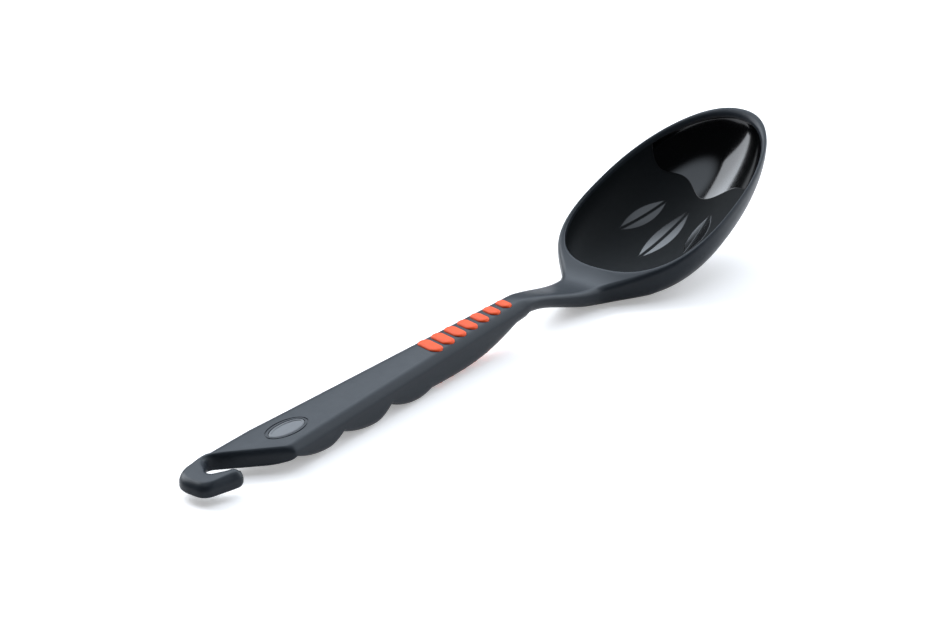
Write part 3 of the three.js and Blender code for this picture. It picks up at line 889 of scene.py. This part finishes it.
def badge_material():
    """Pale grey satin plate with a faint brushed grain along its length."""
    nodes = Nodes("badge_grey")
    stretch = nodes.add("ShaderNodeMapping", {"Vector": nodes.place(), "Scale": BADGE_BRUSHING})
    inputs = {"Vector": stretch.outputs["Vector"], "Scale": 1, "Detail": BADGE_BRUSHING_DETAIL}
    grain = nodes.add("ShaderNodeTexNoise", inputs).outputs["Fac"]
    nodes.set(
        base_color=nodes.mix_colour(grain, BADGE_DARK, BADGE_LIGHT),
        roughness=nodes.spread(grain, *BADGE_ROUGHNESS),
        specular_ior_level=BADGE_SPECULAR,
    )
    return nodes.owner


# Floor, with its glow to the camera and in reflections, and its half side in metres
FLOOR_REACH = 6
FLOOR_COLOUR = (0.90, 0.87, 0.85, 1)
FLOOR_ROUGHNESS = 0.9
FLOOR_SPECULAR = 0.1
FLOOR_GLOW = 0.34
MIRROR_GLOW = 0.15


def floor_material():
    """White floor that keeps the spoon's shadow and glows to the camera and to reflections."""
    nodes = Nodes("floor_white")
    nodes.set(base_color=FLOOR_COLOUR, roughness=FLOOR_ROUGHNESS, specular_ior_level=FLOOR_SPECULAR)
    light_path = nodes.add("ShaderNodeLightPath").outputs
    to_camera = nodes.math("MULTIPLY", light_path["Is Camera Ray"], FLOOR_GLOW)
    to_mirror = nodes.math("MULTIPLY", light_path["Is Glossy Ray"], MIRROR_GLOW)
    nodes.set(emission_color=(1, 1, 1, 1), emission_strength=nodes.math("ADD", to_camera, to_mirror))
    return nodes.owner


def add_floor():
    mesh = bpy.data.meshes.new("floor")
    signs = ((-1, -1), (1, -1), (1, 1), (-1, 1))
    corners = [(FLOOR_REACH * x, FLOOR_REACH * y, 0) for x, y in signs]
    mesh.from_pydata(corners, [], [(0, 1, 2, 3)])
    floor = add_object("floor", mesh)
    mesh.materials.append(floor_material())


# Lamps, in metres and watts
LAMP_COLOUR = (0.95, 1.0, 1.06)
SOFTBOXES = (
    {
        "name": "back_left",
        "place": (0.01, 1.412, 0.95),
        "aim": (0.118, 0, 0.02),
        "size": (1.2, 1.6),
        "watts": 33,
    },
    {
        "name": "front_right",
        "place": (1.25, -0.62, 0.80),
        "aim": (0.05, 0, 0.01),
        "size": (1.5, 1.3),
        "watts": 9,
    },
)

# Light of the room: directions as unit vectors, heights as their Z, sides as the cosine to a direction
SKY_COLOUR = (0.90, 1.0, 1.12)
BEYOND = (0.766, 0.643, 0)
LIGHT_HEIGHT = (0.26, 0.52)
LIGHT_SIDE = (0.35, 0.8)
LIGHT_STRENGTH = 3.9
OVERHEAD_HEIGHT = (0.86, 0.96)
OVERHEAD_STRENGTH = 1.7
WALL = (0.847, -0.489, 0.208)
WALL_SIDE = (0.68, 0.95)
WALL_STRENGTH = 2.0
ROOM_STRENGTH = 0.02


def add_softbox(name, place, aim, size, watts):
    data = bpy.data.lights.new(name, "AREA")
    data.shape = "RECTANGLE"
    data.size = size[0]
    data.size_y = size[1]
    data.energy = watts
    data.color = LAMP_COLOUR
    lamp = bpy.data.objects.new(name, data)
    lamp.location = place
    lamp.rotation_euler = (Vector(aim) - Vector(place)).to_track_quat("-Z", "Y").to_euler()
    bpy.context.scene.collection.objects.link(lamp)


def add_world():
    """Dark room: a wide, soft light high beyond the spoon, one overhead, and a pale wall low on the right."""
    nodes = Nodes("studio", bpy.data.worlds, "Background")
    outward = nodes.add("ShaderNodeTexCoord").outputs["Generated"]
    high = nodes.add("ShaderNodeSeparateXYZ", {"Vector": outward}).outputs["Z"]
    beyond = nodes.dot(outward, BEYOND)
    light = nodes.math("MULTIPLY", nodes.step(high, *LIGHT_HEIGHT), nodes.step(beyond, *LIGHT_SIDE))
    ahead = nodes.dot(outward, WALL)
    wall = nodes.math("MULTIPLY", nodes.step(ahead, *WALL_SIDE), WALL_STRENGTH)
    overhead = nodes.math("MULTIPLY", nodes.step(high, *OVERHEAD_HEIGHT), OVERHEAD_STRENGTH)
    strength = nodes.math("ADD", nodes.spread(light, ROOM_STRENGTH, LIGHT_STRENGTH), wall)
    strength = nodes.math("MAXIMUM", strength, overhead)
    seen = nodes.add("ShaderNodeLightPath").outputs["Is Camera Ray"]
    nodes.set(color=(*SKY_COLOUR, 1), strength=nodes.math("MAXIMUM", strength, seen))
    bpy.context.scene.world = nodes.owner


def add_camera():
    back = Vector(
        (
            math.sin(VIEW_AZIMUTH) * math.cos(VIEW_ELEVATION),
            -math.cos(VIEW_AZIMUTH) * math.cos(VIEW_ELEVATION),
            math.sin(VIEW_ELEVATION),
        )
    )
    data = bpy.data.cameras.new("camera")
    data.sensor_width = SENSOR_WIDTH
    data.lens = FOCAL_PIXELS / IMAGE_WIDTH * SENSOR_WIDTH
    data.clip_start = CLIP_NEAR
    data.clip_end = CLIP_FAR
    camera = bpy.data.objects.new("camera", data)
    camera.location = (VIEW_TARGET + back * VIEW_DISTANCE) * MM
    camera.rotation_euler = back.to_track_quat("Z", "Y").to_euler()
    bpy.context.scene.collection.objects.link(camera)
    bpy.context.scene.camera = camera


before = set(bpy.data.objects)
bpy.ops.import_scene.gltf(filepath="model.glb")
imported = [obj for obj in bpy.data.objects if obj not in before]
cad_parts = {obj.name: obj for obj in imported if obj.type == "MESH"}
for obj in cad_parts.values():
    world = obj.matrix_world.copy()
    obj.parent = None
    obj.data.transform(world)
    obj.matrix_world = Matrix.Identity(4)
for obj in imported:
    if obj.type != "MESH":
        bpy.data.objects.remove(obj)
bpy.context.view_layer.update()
add_camera()
add_body()
add_plugs()
add_badge()
add_floor()
add_world()
for softbox in SOFTBOXES:
    add_softbox(**softbox)
bpy.context.scene.view_settings.view_transform = "Standard"
